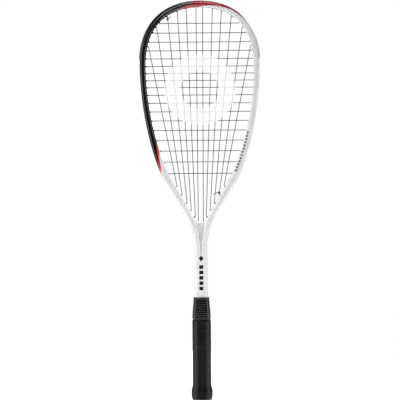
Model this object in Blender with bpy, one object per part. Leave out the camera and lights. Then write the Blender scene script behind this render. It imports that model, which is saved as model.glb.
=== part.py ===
"""Squash racket: teardrop frame with a hollow shaft, woven strings, grommet strips, handle and sliding collar.

The origin is the centre of the butt cap's flat underside, +Z runs up the handle to the tip of the head,
X runs across the head and the string bed lies in the XZ plane. Sizes are in millimetres until scaled by MM.
"""
import math

import bmesh
import bpy
from mathutils import Matrix, Vector
from mathutils.geometry import interpolate_bezier

MM = 0.001
GAP = 0.3                     # clearance kept between pieces that touch

# Head outline, right half: (knot, handle before it, handle after it), each (x, z)
OUTER_KNOTS = [
    ((0, 684.6), (0, 684.6), (65, 684.6)),
    ((103.1, 578), (103.1, 642), (103.1, 490)),
    ((60, 372), (79, 404.9), (32.5, 324.4)),
    ((10.7, 262), (10.7, 300), (10.7, 240)),
    ((11.2, 180), (11.2, 200), (11.2, 174)),
    ((8.8, 158), (8.8, 164), (8.8, 150)),
]
INNER_KNOTS = [
    ((0, 675.2), (0, 675.2), (60, 675.2)),
    ((92.6, 574), (92.6, 637), (92.6, 490)),
    ((49, 378.4), (68, 411.3), (34.9, 354)),
    ((6.7, 305.5), (20.8, 329.9), (6.7, 305.5)),
]
CURVE_STEPS = 14              # points on each Bezier stretch of the outlines
PAST_TOP = CURVE_STEPS // 3   # heights are looked up from this point down, clear of the flat top
FRAME_DEPTH = 19.0            # across the string plane
FRAME_ROUND = 3.8             # rounding of the frame's long edges
SHAFT_END = 12.0              # the shaft runs down to here inside the handle
WEB_TOP = 305.5               # the bridge closes the head opening here
WEB_TOP_HALF = 6.7
WEB_APEX = 272.0
WEB_APEX_HALF = 0.9
WEB_DEPTH = 13.0
WEB_ROUND = 0.3
TURN_SLOT = ((-9, -1.8, 295.8), (9, 1.8, 310))          # the centre mains turn in this slot of the bridge
TURN = [(4.3, 300), (3.3, 298.2), (2.2, 297.4)]         # half of that turn, (x, z)
CENTRE_GROMMET = ((-5.7, -1.5, 301.2), (5.7, 1.5, 305.1))

CHANNEL_DEPTH = 3.0           # string channel in the outer edge of the hoop
CHANNEL_WIDTH = 7.0
CHANNEL_END = 300.0           # height where the channel stops on each leg
STRIP_THICKNESS = 0.8
BUMPER_LIP = 0.7              # thickness of the bumper's walls inside the channel
BUMPER_SLOPE = 0.8
BUMPER_END = 583.0
BUMPER_WIDTH = 14.0
BUMPER_THICKNESS = 1.1
SIDE_STRIP = (579.0, 380.0)
THROAT_STRIP = (364.0, 304.0)

STRING_R = 0.62
HOLE_R = 1.8
HOLE_SIDES = 6
BARREL_R = 1.5
BORE_R = 0.95
BARREL_SIDES = 8
BARREL_PROUD = 1.0            # barrels stand this far into the head opening
MOUTH_CLEAR = 0.8             # strings are straight up to this distance from a barrel's end
WEAVE = 1.6                   # a cross passes this far in front of or behind a main
LOOP_SHIFT = 1.55             # outside loops of mains and crosses lie side by side in the channel
LOOP_LEAD = 3.0               # a loop leaves the middle of the channel over this distance
KNOT_SIDES = 7                # points on one turn of a knot
KNOT_PITCH = 1.7
MAIN_TOPS = [(5.8, 675.5), (22.9, 672.6), (38.5, 668), (55.7, 659), (75.1, 641), (89.5, 608)]
MAIN_BOTTOMS = [(4.3, 306), (11, 314), (17.8, 325.5), (25, 337.5), (33.3, 351.5), (42, 366.5)]
CROSS_TOP = 648.5
CROSS_COUNT = 18
CROSS_GAP = 12.2              # closest spacing of the crosses, in the middle of the head
CROSS_GAP_ABOVE = 0.94        # added to each gap for every gap above the fifth
CROSS_GAP_BELOW = 0.86        # and for every gap below the seventh
# Knots: (name, main, side, height, tail)
KNOTS = [("knot_mains", 4, 1, 355.5, (-9.5, -3, -4.5)), ("knot_crosses", 3, -1, 655, (4, -1, 1.6))]

# Handle sections: (z, half width in X, half depth in Y)
PALLET = [(4.3, 14.0, 11.7), (136, 14.0, 11.7), (157.5, 12.7, 10.9)]
PALLET_BORE = [(4, 9.1, 9.8, 2.2), (159, 9.1, 9.8, 2.2)]
CAP = [(0, 15.4, 13.1), (1.2, 16.3, 13.9), (3, 16.0, 13.6), (6, 16.6, 14.2), (15, 17.0, 14.6), (22, 15.0, 12.7)]
CAP_BORE = [(4, 14.3, 12.0), (23, 14.3, 12.0)]
GRIP = [(2.4, 17.2, 14.8), (5, 18.0, 15.5), (15, 18.5, 16.0), (22, 16.6, 14.3), (28, 15.8, 13.5),
        (136, 15.8, 13.5), (138.6, 14.2, 12.4), (157, 13.4, 11.7)]
GRIP_BORE = [(2.3, 16.35, 13.95), (6, 16.9, 14.5), (15, 17.3, 14.9), (22, 15.3, 13.0), (28, 14.3, 12.0),
             (136, 14.3, 12.0), (158, 12.97, 11.2)]
FINISH = [(147, 14.45, 12.7), (153, 14.2, 12.45)]
FINISH_BORE = [(146, 14.18, 12.42), (154, 13.84, 12.11)]
COLLAR = [(138.8, 15.9, 14.2), (150, 15.5, 14.0), (160, 14.6, 13.3), (170, 13.7, 12.5), (176, 13.6, 12.4)]
COLLAR_BORE = [(138, 15.0, 13.45), (150, 14.9, 13.4), (160, 13.9, 12.6), (168, 12.8, 11.5), (177, 12.6, 11.3)]
OCTAGON_CUT = 0.51            # share of the half width taken by a corner facet
COLLAR_SIDES = 20
COLLAR_SQUARENESS = 0.6       # 1 is an oval, 0 a rectangle
PLUG = [(12.3, 6.4, 6.6, 2), (26, 6.4, 6.6, 2)]
BADGE = [(0.3, 8.4, 7.2), (0.8, 8.4, 7.2)]
BADGE_SEAT = [(-1, 8.8, 7.6), (1.1, 8.8, 7.6)]
STAPLE_R = 0.35
STAPLE_SLOT_R = 0.75
STAPLE = [(12.6, -4), (16.2, -4), (16.2, 4), (12.6, 4)]  # right-hand staple, (x, y)
STAPLE_HEIGHT = 12.0
STAPLE_RECESS = (15.8, 18.0, 4.8, 0.7)                   # x from, x to, half width, half height
SHAFT_BORE = [(11, 6.8, 7, 2), (158, 6.8, 7, 2), (185, 8.4, 7, 3), (250, 8, 7, 3)]

parts = None
cutters = None


def start_scene():
    """Empty the scene and make one collection for the parts and one for the cutters."""
    global parts, cutters
    for item in list(bpy.data.objects):
        bpy.data.objects.remove(item)
    parts = bpy.data.collections.new("squash_racket")
    cutters = bpy.data.collections.new("cutters")
    for collection in (parts, cutters):
        bpy.context.scene.collection.children.link(collection)


def paint(name, colour, roughness, metallic=0.0):
    """A Principled material."""
    material = bpy.data.materials.new(name)
    material.use_nodes = True
    shader = material.node_tree.nodes["Principled BSDF"]
    shader.inputs["Base Color"].default_value = (*colour, 1)
    shader.inputs["Roughness"].default_value = roughness
    shader.inputs["Metallic"].default_value = metallic
    return material


def add_object(name, data, collection, material=None):
    """Put data in the scene under a name; without a material it is a cutter."""
    item = bpy.data.objects.new(name, data)
    collection.objects.link(item)
    if material is None:
        item.hide_render = True
        item.display_type = "WIRE"
    else:
        data.materials.append(material)
    return item


def to_mesh(item):
    """Replace a curve object by a welded mesh object with the same name, place and collection."""
    bpy.context.view_layer.update()
    evaluated = item.evaluated_get(bpy.context.evaluated_depsgraph_get())
    mesh = bpy.data.meshes.new_from_object(evaluated)
    mesh.transform(item.matrix_world)
    form = bmesh.new()
    form.from_mesh(mesh)
    bmesh.ops.remove_doubles(form, verts=form.verts, dist=1e-6)
    bmesh.ops.recalc_face_normals(form, faces=form.faces)
    form.to_mesh(mesh)
    form.free()
    name, collection = item.name, item.users_collection[0]
    hidden, display = item.hide_render, item.display_type
    bpy.data.objects.remove(item)
    solid = bpy.data.objects.new(name, mesh)
    collection.objects.link(solid)
    solid.hide_render = hidden
    solid.display_type = display
    return solid


def cut(item, *tools, operation="DIFFERENCE"):
    """Add a Boolean for each tool."""
    for tool in tools:
        boolean = item.modifiers.new(tool.name, "BOOLEAN")
        boolean.operation = operation
        boolean.object = tool


def weld(item):
    """Close up the hairline edges that a Boolean leaves where two outlines share corners."""
    merge = item.modifiers.new("weld", "WELD")
    merge.merge_threshold = 0.00001


# ---------------------------------------------------------------- outlines

def half_outline(knots):
    """Points (x, z) down the right side, from the top of the head."""
    points = []
    for (start, _, leave), (end, arrive, _) in zip(knots, knots[1:]):
        stretch = interpolate_bezier(Vector(start), Vector(leave), Vector(arrive), Vector(end), CURVE_STEPS)
        points += stretch[:-1]
    return points + [Vector(knots[-1][0])]


OUTER = half_outline(OUTER_KNOTS)
INNER = half_outline(INNER_KNOTS)


def corner_runs():
    """Signed distances of the outer outline's corners from the top of the head, left to right."""
    runs = [0.0]
    for a, b in zip(OUTER, OUTER[1:]):
        runs.append(runs[-1] + (b - a).length)
    return [-run for run in reversed(runs[1:])] + runs


CORNER_RUNS = corner_runs()


def point_at_height(outline, z):
    """The point of a right-hand outline at height z, below its widest place or beside it."""
    for a, b in zip(outline, outline[1:]):
        if a.y >= z >= b.y:
            return a.lerp(b, (a.y - z) / max(a.y - b.y, 1e-9))
    return outline[-1]


def nearest_on(outline, point):
    """Distance along the outline of its place nearest to a point."""
    best = None
    run = 0.0
    for a, b in zip(outline, outline[1:]):
        side = b - a
        share = min(1.0, max(0.0, (point - a).dot(side) / side.length_squared))
        place = a + side * share
        gap = (point - place).length
        if best is None or gap < best[0]:
            best = (gap, run + side.length * share)
        run += side.length
    return best[1]


def place_along(distance, normal_offset, y):
    """3D place at a distance along the outer outline, right side positive, moved out along its normal."""
    remaining = abs(distance)
    side = 1 if distance >= 0 else -1
    for a, b in zip(OUTER, OUTER[1:]):
        length = (b - a).length
        if remaining <= length or b is OUTER[-1]:
            place = a.lerp(b, remaining / length)
            normal = smooth_normal(a, b, remaining / length)
            place = place + normal * normal_offset
            return Vector((side * place.x, y, place.y))
        remaining -= length
    return None


def edge_normal(a, b):
    """Outward normal of an edge that runs down the right side."""
    side = b - a
    return Vector((-side.y, side.x)).normalized()


def smooth_normal(a, b, share):
    """Normal blended between the neighbouring corners of one outline edge."""
    index = OUTER.index(a)
    before = edge_normal(OUTER[index - 1], a) if index else Vector((0, 1))
    after = edge_normal(b, OUTER[index + 2]) if index + 2 < len(OUTER) else edge_normal(a, b)
    here = edge_normal(a, b)
    start = Vector((0, 1)) if index == 0 else (before + here).normalized()
    return start.lerp((here + after).normalized(), share).normalized()


def run_to_height(z):
    """Distance along the outer outline from the top of the head to a height on its right side."""
    return nearest_on(OUTER, point_at_height(OUTER[PAST_TOP:], z))


# ---------------------------------------------------------------- shapes

def flat_curve(name, loops, thickness, rounding, collection, material=None):
    """A plate in the XZ plane with closed (x, z) loops, rounded edges and the given thickness in Y."""
    data = bpy.data.curves.new(name, "CURVE")
    data.dimensions = "2D"
    data.fill_mode = "BOTH"
    for loop in loops:
        spline = data.splines.new("POLY")
        spline.points.add(len(loop) - 1)
        for point, (x, z) in zip(spline.points, loop):
            point.co = (x * MM, z * MM, 0, 1)
        spline.use_cyclic_u = True
    data.extrude = (thickness / 2 - rounding) * MM
    data.bevel_depth = rounding * MM
    data.bevel_resolution = 1
    data.offset = -rounding * MM
    item = add_object(name, data, collection, material)
    item.rotation_euler = (math.pi / 2, 0, 0)
    return to_mesh(item)


def sweep(name, start, end, profile, collection, material=None):
    """Carry a closed profile of (outward, y) points along the outer outline from start to end."""
    shape = bpy.data.curves.new(name + "_profile", "CURVE")
    shape.dimensions = "2D"
    spline = shape.splines.new("POLY")
    spline.points.add(len(profile) - 1)
    for point, (outward, y) in zip(spline.points, profile):
        point.co = (-outward * MM, -y * MM, 0, 1)
    spline.use_cyclic_u = True
    guide = add_object(name + "_profile", shape, cutters)
    data = bpy.data.curves.new(name, "CURVE")
    data.dimensions = "2D"
    data.fill_mode = "NONE"
    stations = [start] + [run for run in CORNER_RUNS if start + 2 < run < end - 2] + [end]
    spline = data.splines.new("POLY")
    spline.points.add(len(stations) - 1)
    for point, station in zip(spline.points, stations):
        place = place_along(station, 0, 0)
        point.co = (place.x * MM, place.z * MM, 0, 1)
    data.bevel_mode = "OBJECT"
    data.bevel_object = guide
    data.use_fill_caps = True
    item = add_object(name, data, collection, material)
    item.rotation_euler = (math.pi / 2, 0, 0)
    solid = to_mesh(item)
    bpy.data.objects.remove(guide)
    return solid


def rods(name, lines, radius, sides, collection):
    """One mesh of separate cylinders, each from one 3D point to another."""
    form = bmesh.new()
    for start, end in lines:
        along = end - start
        turn = along.to_track_quat("Z", "Y").to_matrix().to_4x4()
        middle = Matrix.Translation((start + end) / 2 * MM)
        bmesh.ops.create_cone(form, cap_ends=True, segments=sides, radius1=radius * MM, radius2=radius * MM,
                              depth=along.length * MM, matrix=middle @ turn)
    mesh = bpy.data.meshes.new(name)
    form.to_mesh(mesh)
    form.free()
    return add_object(name, mesh, collection)


def octagon(half_x, half_y, corner=None):
    """Corners of a handle section: an oblong with its corners cut at 45 degrees."""
    corner = corner or OCTAGON_CUT * half_x
    corners = [(half_x, half_y - corner), (half_x - corner, half_y)]
    corners += [(-x, y) for x, y in reversed(corners)]
    return corners + [(-x, -y) for x, y in corners]


def oval(half_x, half_y):
    """Corners of a collar section: a rounded oblong."""
    corners = []
    for i in range(COLLAR_SIDES):
        angle = 2 * math.pi * (i + 0.5) / COLLAR_SIDES
        c, s = math.cos(angle), math.sin(angle)
        x = half_x * math.copysign(abs(c) ** COLLAR_SQUARENESS, c)
        y = half_y * math.copysign(abs(s) ** COLLAR_SQUARENESS, s)
        corners.append((x, y))
    return corners


def loft(name, sections, corners_of, collection, material=None):
    """A closed solid through level sections (z, half x, half y and any other size of the section)."""
    form = bmesh.new()
    rings = []
    for z, *sizes in sections:
        corners = corners_of(*sizes)
        rings.append([form.verts.new((x * MM, y * MM, z * MM)) for x, y in corners])
    form.faces.new(list(reversed(rings[0])))
    form.faces.new(rings[-1])
    for low, high in zip(rings, rings[1:]):
        for i in range(len(low)):
            j = (i + 1) % len(low)
            form.faces.new((low[i], low[j], high[j], high[i]))
    mesh = bpy.data.meshes.new(name)
    form.to_mesh(mesh)
    form.free()
    return add_object(name, mesh, collection, material)


def block(name, low, high, collection, material=None):
    """A box between two corners."""
    form = bmesh.new()
    size = Vector(high) - Vector(low)
    middle = (Vector(high) + Vector(low)) / 2
    place = Matrix.Translation(middle * MM) @ Matrix.Diagonal((*(size * MM), 1))
    bmesh.ops.create_cube(form, size=1, matrix=place)
    mesh = bpy.data.meshes.new(name)
    form.to_mesh(mesh)
    form.free()
    return add_object(name, mesh, collection, material)


def wire(name, points, radius, collection, material=None, resolution=1):
    """A round wire through 3D points."""
    data = bpy.data.curves.new(name, "CURVE")
    data.dimensions = "3D"
    spline = data.splines.new("POLY")
    spline.points.add(len(points) - 1)
    for point, place in zip(spline.points, points):
        point.co = (*(Vector(place) * MM), 1)
    data.bevel_depth = radius * MM
    data.bevel_resolution = resolution
    data.use_fill_caps = True
    return to_mesh(add_object(name, data, collection, material))


# ---------------------------------------------------------------- string pattern

def cross_heights():
    """Heights of the crosses from the top; the gaps widen towards both ends of the head."""
    heights = [CROSS_TOP]
    for i in range(CROSS_COUNT - 1):
        gap = CROSS_GAP + CROSS_GAP_ABOVE * max(0, 5 - i) + CROSS_GAP_BELOW * max(0, i - 7)
        heights.append(heights[-1] - gap)
    return heights


def string_hole(inner_point):
    """(distance along the outer outline, place at the inner wall) of the hole behind an inner point."""
    return nearest_on(OUTER, Vector(inner_point)), Vector(inner_point)


MAIN_HOLES_TOP = [string_hole(point) for point in MAIN_TOPS]
MAIN_HOLES_BOTTOM = [string_hole(point) for point in MAIN_BOTTOMS]
CROSS_HOLES = [string_hole(point_at_height(INNER[PAST_TOP:], z)) for z in cross_heights()]


def mouth(hole, side):
    """Where a string meets its hole inside the head: just clear of the barrel's end."""
    distance, inner = hole
    if hole is MAIN_HOLES_BOTTOM[0]:
        return Vector((side * inner.x, 0, inner.y + MOUTH_CLEAR))
    outside = place_along(distance, 0, 0)
    inside = Vector((inner.x, 0, inner.y))
    spot = inside + (inside - outside).normalized() * (BARREL_PROUD + MOUTH_CLEAR)
    return Vector((side * spot.x, 0, spot.z))


def channel_loop(distance_a, distance_b, shift):
    """String path in the channel from one hole to the next, set to one side of the other strings."""
    depth = -(CHANNEL_DEPTH - 2 * GAP - STRIP_THICKNESS - STRING_R)
    span = distance_b - distance_a
    lead = math.copysign(min(LOOP_LEAD, abs(span) * 0.3), span)
    start, end = distance_a + lead, distance_b - lead
    corners = [run for run in CORNER_RUNS if min(start, end) + 1 < run < max(start, end) - 1]
    stations = [start] + sorted(corners, reverse=span < 0) + [end]
    path = [place_along(distance_a, depth, 0)]
    path += [place_along(station, depth, shift) for station in stations]
    return path + [place_along(distance_b, depth, 0)]


def mains_path():
    """The string through all twelve mains, left to right; it ends in the channel beside the knot's hole."""
    order = [(-1, i) for i in range(5, -1, -1)] + [(1, i) for i in range(6)]
    path = []
    for step, (side, i) in enumerate(order):
        top, bottom = MAIN_HOLES_TOP[i], MAIN_HOLES_BOTTOM[i]
        rising = step % 2 == 0
        first, last = (bottom, top) if rising else (top, bottom)
        path += [mouth(first, side), mouth(last, side)]
        if step == len(order) - 1:
            path += channel_loop(bottom[0], MAIN_HOLES_BOTTOM[i - 1][0], LOOP_SHIFT)[:-1]
            break
        next_side, j = order[step + 1]
        if rising:
            path += channel_loop(side * top[0], next_side * MAIN_HOLES_TOP[j][0], -LOOP_SHIFT)
        elif i == 0:
            path += bridge_turn(side)
        else:
            path += channel_loop(side * bottom[0], next_side * MAIN_HOLES_BOTTOM[j][0], -LOOP_SHIFT)
    return path


def bridge_turn(side):
    """The centre mains turn round inside the bridge."""
    return [Vector((side * x, 0, z)) for x, z in TURN] + [Vector((-side * x, 0, z)) for x, z in reversed(TURN)]


def main_x_at(i, z):
    """Half-spread of main i at a height, or None above or below its ends."""
    top, bottom = mouth(MAIN_HOLES_TOP[i], 1), mouth(MAIN_HOLES_BOTTOM[i], 1)
    if not bottom.z < z < top.z - 2:
        return None
    return bottom.x + (top.x - bottom.x) * (z - bottom.z) / (top.z - bottom.z)


def crosses_path():
    """The string on through all the crosses, over and under the mains, from one knot to the first main."""
    path = channel_loop(-MAIN_HOLES_TOP[3][0], -CROSS_HOLES[0][0], LOOP_SHIFT)[1:]
    for row, (z, hole) in enumerate(zip(cross_heights(), CROSS_HOLES)):
        side = 1 if row % 2 == 0 else -1
        spreads = [main_x_at(i, z) for i in range(6)]
        places = [-x for x in reversed(spreads) if x is not None] + [x for x in spreads if x is not None]
        path.append(mouth(hole, -side))
        for x in (places if side > 0 else reversed(places)):
            column = places.index(x) - len(places) // 2
            front = (column + row) % 2 == 0
            path.append(Vector((x, -WEAVE if front else WEAVE, z)))
        path.append(mouth(hole, side))
        if row < CROSS_COUNT - 1:
            path += channel_loop(side * hole[0], side * CROSS_HOLES[row + 1][0], LOOP_SHIFT)
    first_main = MAIN_HOLES_BOTTOM[-1]
    path += channel_loop(-CROSS_HOLES[-1][0], -first_main[0], LOOP_SHIFT)
    inside = mouth(first_main, -1)
    return path + [inside + (path[-1] - inside).normalized() * 2 * GAP]


def tie_off(name, main, side, z, tail, material):
    """Two turns of string round a main at a height, and a short tail."""
    centre = Vector((side * main_x_at(main, z), 0, z))
    along = (centre - Vector((side * main_x_at(main, z - 1), 0, z - 1))).normalized()
    across = Vector((0, -side, 0)).cross(along).normalized()
    front = along.cross(across)
    radius = 2 * STRING_R + GAP + 0.1
    points = []
    for i in range(2 * KNOT_SIDES + 1):
        angle = 2 * math.pi * i / KNOT_SIDES
        points.append(centre + radius * (math.cos(angle) * across + math.sin(angle) * front)
                      + along * KNOT_PITCH * (i / KNOT_SIDES - 1))
    points.append(points[-1] + Vector(tail))
    return wire(name, points, STRING_R, parts, material)


# ---------------------------------------------------------------- pieces

def hole_line(hole, side, from_normal, proud):
    """A hole's axis, from a normal offset outside to a distance proud of the inner wall."""
    distance, inner = hole
    outside = place_along(distance, 0, 0)
    inside = Vector((inner.x, 0, inner.y))
    along = (inside - outside).normalized()
    start, end = outside - along * from_normal, inside + along * proud
    return tuple(Vector((side * p.x, 0, p.z)) for p in (start, end))


def frame(paintwork):
    """Hoop, legs and hollow shaft in one piece, with the string channel and string holes."""
    right = [tuple(p) for p in OUTER] + [(OUTER[-1].x, SHAFT_END)]
    left = [(-x, z) for x, z in reversed(right)][:-1]
    web = [(WEB_APEX_HALF, WEB_APEX)]
    opening = [tuple(p) for p in INNER] + web
    opening += [(-x, z) for x, z in reversed(opening)][:-1]
    body = flat_curve("frame", [right + left, opening], FRAME_DEPTH, FRAME_ROUND, parts, paintwork)
    end = run_to_height(CHANNEL_END)
    half = CHANNEL_WIDTH / 2
    channel = sweep("string_channel", -end, end,
                    [(-CHANNEL_DEPTH, -half), (4, -half), (4, half), (-CHANNEL_DEPTH, half)], cutters)
    holes = MAIN_HOLES_TOP + CROSS_HOLES + MAIN_HOLES_BOTTOM[1:]
    lines = [hole_line(hole, side, 2, 3) for hole in holes for side in (-1, 1)]
    drill = rods("string_holes", lines, HOLE_R, HOLE_SIDES, cutters)
    bore = loft("shaft_bore", SHAFT_BORE, octagon, cutters)
    cut(body, bore, channel, drill)
    weld(body)
    return body


def throat_bridge(plastic):
    """Web between the legs with the slot in which the centre mains turn."""
    loop = [(WEB_TOP_HALF - GAP, WEB_TOP - 0.2), (WEB_APEX_HALF - 0.4, WEB_APEX + 3)]
    loop += [(-x, z) for x, z in reversed(loop)]
    bridge = flat_curve("throat_bridge", [loop], WEB_DEPTH, WEB_ROUND, parts, plastic)
    cut(bridge, block("bridge_slot", *TURN_SLOT, cutters))
    return bridge


def throat_grommet(plastic):
    """Block in the bridge's slot with a bore for each centre main."""
    piece = block("throat_grommet_centre", *CENTRE_GROMMET, parts, plastic)
    x, z = MAIN_BOTTOMS[0]
    lines = [(Vector((side * x, 0, z - 8)), Vector((side * x, 0, z + 2))) for side in (-1, 1)]
    cut(piece, rods("centre_bores", lines, BORE_R, BARREL_SIDES, cutters))
    return piece


def grommet_strip(name, start, end, holes, plastic, profile=None):
    """A strip in the channel with a barrel through every string hole it covers."""
    base = -(CHANNEL_DEPTH - GAP)
    half = CHANNEL_WIDTH / 2 - GAP
    flat = [(base, -half), (base + STRIP_THICKNESS, -half), (base + STRIP_THICKNESS, half), (base, half)]
    strip = sweep(name, start, end, profile or flat, parts, plastic)
    middle = base + STRIP_THICKNESS / 2
    barrels = [hole_line(hole, side, middle, BARREL_PROUD) for hole, side in holes]
    bores = [hole_line(hole, side, 3, BARREL_PROUD + 2) for hole, side in holes]
    cut(strip, rods(name + "_barrels", barrels, BARREL_R, BARREL_SIDES, cutters), operation="UNION")
    cut(strip, rods(name + "_bores", bores, BORE_R, BARREL_SIDES, cutters))
    return strip


def bumper_profile():
    """Base in the channel and a rail over each outer shoulder of the frame."""
    base = -(CHANNEL_DEPTH - GAP)
    half = CHANNEL_WIDTH / 2 - GAP
    wall = half - BUMPER_LIP
    low, high = GAP, GAP + BUMPER_THICKNESS
    wide = BUMPER_WIDTH / 2
    right = [(base, half), (low, half), (low, wide), (high, wide - BUMPER_SLOPE), (high, wall),
             (base + STRIP_THICKNESS, wall)]
    return [(n, -y) for n, y in right] + list(reversed(right))


def strips(plastic):
    """Bumper over the crown, a strip down each side and a short one on each leg."""
    crown = run_to_height(BUMPER_END)
    crown_holes = MAIN_HOLES_TOP + [hole for hole in CROSS_HOLES if hole[0] < crown]
    both = [(hole, side) for hole in crown_holes for side in (-1, 1)]
    grommet_strip("bumper_guard", -crown, crown, both, plastic, bumper_profile())
    for name, side in (("left", -1), ("right", 1)):
        side_holes = [(hole, side) for hole in CROSS_HOLES if hole[0] > crown]
        start, end = (side * run_to_height(z) for z in SIDE_STRIP)
        grommet_strip("grommet_strip_" + name, min(start, end), max(start, end), side_holes, plastic)
        leg_holes = [(hole, side) for hole in MAIN_HOLES_BOTTOM[1:]]
        start, end = (side * run_to_height(z) for z in THROAT_STRIP)
        grommet_strip("throat_grommets_" + name, min(start, end), max(start, end), leg_holes, plastic)


def strings(gut):
    """Mains, crosses and the two knots at the string's ends."""
    wire("string_mains", mains_path(), STRING_R, parts, gut)
    wire("string_crosses", crosses_path(), STRING_R, parts, gut)
    for name, main, side, z, tail in KNOTS:
        tie_off(name, main, side, z, tail, gut)


def handle(foam, plastic, steel, tape, adhesive, rubber):
    """Pallet halves, plug, cap, staples, badge, grip, finishing band and collar."""
    shaft_space = loft("shaft_space", PALLET_BORE, octagon, cutters)
    staples = []
    for name, side in (("left", -1), ("right", 1)):
        points = [Vector((side * x, y, STAPLE_HEIGHT)) for x, y in STAPLE]
        wire("butt_staple_" + name, points, STAPLE_R, parts, steel)
        deeper = Vector((-side * (STAPLE_SLOT_R - STAPLE_R), 0, 0))
        slot = [points[0] + deeper, points[1], points[2], points[3] + deeper]
        staples.append(wire("staple_slot_" + name, slot, STAPLE_SLOT_R, cutters))
        staples.append(block("staple_recess_" + name, *staple_recess(side), cutters))
    for name, side in (("front", -1), ("back", 1)):
        shell = loft("handle_shell_" + name, PALLET, octagon, parts, foam)
        away = block("split_" + name, *half_space(-side), cutters)
        cut(shell, shaft_space, away, staples[0], staples[2])
    loft("shaft_plug", PLUG, octagon, parts, foam)
    cap = loft("butt_cap", CAP, octagon, parts, plastic)
    badge_seat = loft("badge_seat", BADGE_SEAT, octagon, cutters)
    cut(cap, loft("cap_bore", CAP_BORE, octagon, cutters), badge_seat, *staples)
    loft("butt_badge", BADGE, octagon, parts, adhesive)
    grip = loft("grip_tape", GRIP, octagon, parts, tape)
    cut(grip, loft("grip_bore", GRIP_BORE, octagon, cutters))
    band = loft("finishing_tape", FINISH, octagon, parts, adhesive)
    cut(band, loft("band_bore", FINISH_BORE, octagon, cutters))
    collar = loft("rubber_collar", COLLAR, oval, parts, rubber)
    cut(collar, loft("collar_bore", COLLAR_BORE, oval, cutters))


def staple_recess(side):
    """Low and high corners of the flat seat cut in the cap for a staple's back."""
    near, far, half_y, half_z = STAPLE_RECESS
    low, high = sorted((side * near, side * far))
    return (low, -half_y, STAPLE_HEIGHT - half_z), (high, half_y, STAPLE_HEIGHT + half_z)


def half_space(side):
    """A box wider than the handle on one side of the string plane, reaching half a gap over it."""
    low, high = sorted((side * -GAP / 2, side * 40))
    return (-40, low, -5), (40, high, 200)


def build():
    """Model the whole racket."""
    start_scene()
    frame(paint("white_lacquer", (0.86, 0.86, 0.86), 0.25))
    grey = paint("grommet_nylon", (0.05, 0.05, 0.05), 0.45)
    throat_bridge(paint("grey_lacquer", (0.62, 0.62, 0.63), 0.3))
    throat_grommet(grey)
    strips(grey)
    strings(paint("string", (0.03, 0.03, 0.03), 0.35))
    handle(paint("handle_foam", (0.35, 0.3, 0.22), 0.8), paint("cap_plastic", (0.2, 0.2, 0.2), 0.5),
           paint("staple_steel", (0.6, 0.6, 0.6), 0.3, 1.0), paint("grip", (0.02, 0.018, 0.016), 0.7),
           paint("adhesive_band", (0.05, 0.05, 0.05), 0.4), paint("collar_rubber", (0.015, 0.015, 0.016), 0.3))


build()
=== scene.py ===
"""Looks of the squash racket: lacquered hoop, clear bumper, woven strings, wrapped grip and ribbed collar."""
import math

import bmesh
import bpy
from mathutils import Matrix, Vector
from mathutils.geometry import interpolate_bezier


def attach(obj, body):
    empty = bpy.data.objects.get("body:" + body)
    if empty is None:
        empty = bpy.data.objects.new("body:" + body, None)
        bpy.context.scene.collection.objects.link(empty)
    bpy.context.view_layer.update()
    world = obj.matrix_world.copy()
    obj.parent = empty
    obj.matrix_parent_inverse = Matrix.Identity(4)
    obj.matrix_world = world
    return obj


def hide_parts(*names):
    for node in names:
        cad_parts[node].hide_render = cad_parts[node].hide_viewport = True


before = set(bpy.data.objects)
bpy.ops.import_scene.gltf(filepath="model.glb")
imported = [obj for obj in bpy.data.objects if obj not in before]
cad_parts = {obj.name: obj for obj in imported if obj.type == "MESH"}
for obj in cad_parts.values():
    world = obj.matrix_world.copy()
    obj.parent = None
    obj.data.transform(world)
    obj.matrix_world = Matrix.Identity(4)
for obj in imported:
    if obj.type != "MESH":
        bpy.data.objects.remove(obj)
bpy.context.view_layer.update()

MM = 0.001

# Sizes are in millimetres. Head outline, right half: (knot, handle before it, handle after it), each (x, z)
OUTER_KNOTS = [
    ((0, 684.6), (0, 684.6), (65, 684.6)),
    ((103.1, 578), (103.1, 642), (103.1, 490)),
    ((60, 372), (79, 404.9), (32.5, 324.4)),
    ((10.7, 262), (10.7, 300), (10.7, 240)),
    ((11.2, 180), (11.2, 200), (11.2, 174)),
    ((8.8, 158), (8.8, 164), (8.8, 150)),
]
INNER_KNOTS = [
    ((0, 675.2), (0, 675.2), (60, 675.2)),
    ((92.6, 574), (92.6, 637), (92.6, 490)),
    ((49, 378.4), (68, 411.3), (34.9, 354)),
    ((6.7, 305.5), (20.8, 329.9), (6.7, 305.5)),
]
CURVE_STEPS = 36               # points on each stretch of an outline
PAST_TOP = CURVE_STEPS // 3    # outline points past the flat top of the head
HALF_DEPTH = 9.5
CHANNEL_DEPTH = 3.0
CHANNEL_HALF = 3.4
CHANNEL_END = 300.0            # height where the string channel runs out
CHANNEL_FADE = 4.0
SHAFT_END = 12.0
LEGS_MEET = 299.0              # outer height beside which the legs' inner walls start to close
LEGS_APART = 30.0              # outer half width past which the outline is above the fork
LEGS_JOINED = 256.0
SEAM_GONE = 247.0              # height where the joint line down the shaft has faded out
WEB_TOP = 305.2
WEB_TOP_HALF = 6.4
WEB_LOW = 266.0
WEB_HALF_DEPTH = 6.2
WEB_BLUNT = 6.0                # height by which the web's point is cut off
WEB_DISH = 0.9                 # hollow in the middle of each face
BUMPER_END = 583.0
TAPER_LENGTH = 5.0             # length over which an end of the bumper thins out
SIDE_STRIP = (579.0, 380.0)    # heights of both ends of a strip
THROAT_STRIP = (364.0, 304.0)
LEG_NYLON_TOP = 372.0          # nylon below this height is dark grey
STRIP_BASE = -2.7              # faces of a strip in the channel, from the outline
STRIP_TOP = -1.9
BARREL_R = 1.5
BORE_R = 0.8
BARREL_PROUD = 1.0
MOUTH_CLEAR = 0.8              # a string bends this far above its barrel

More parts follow.
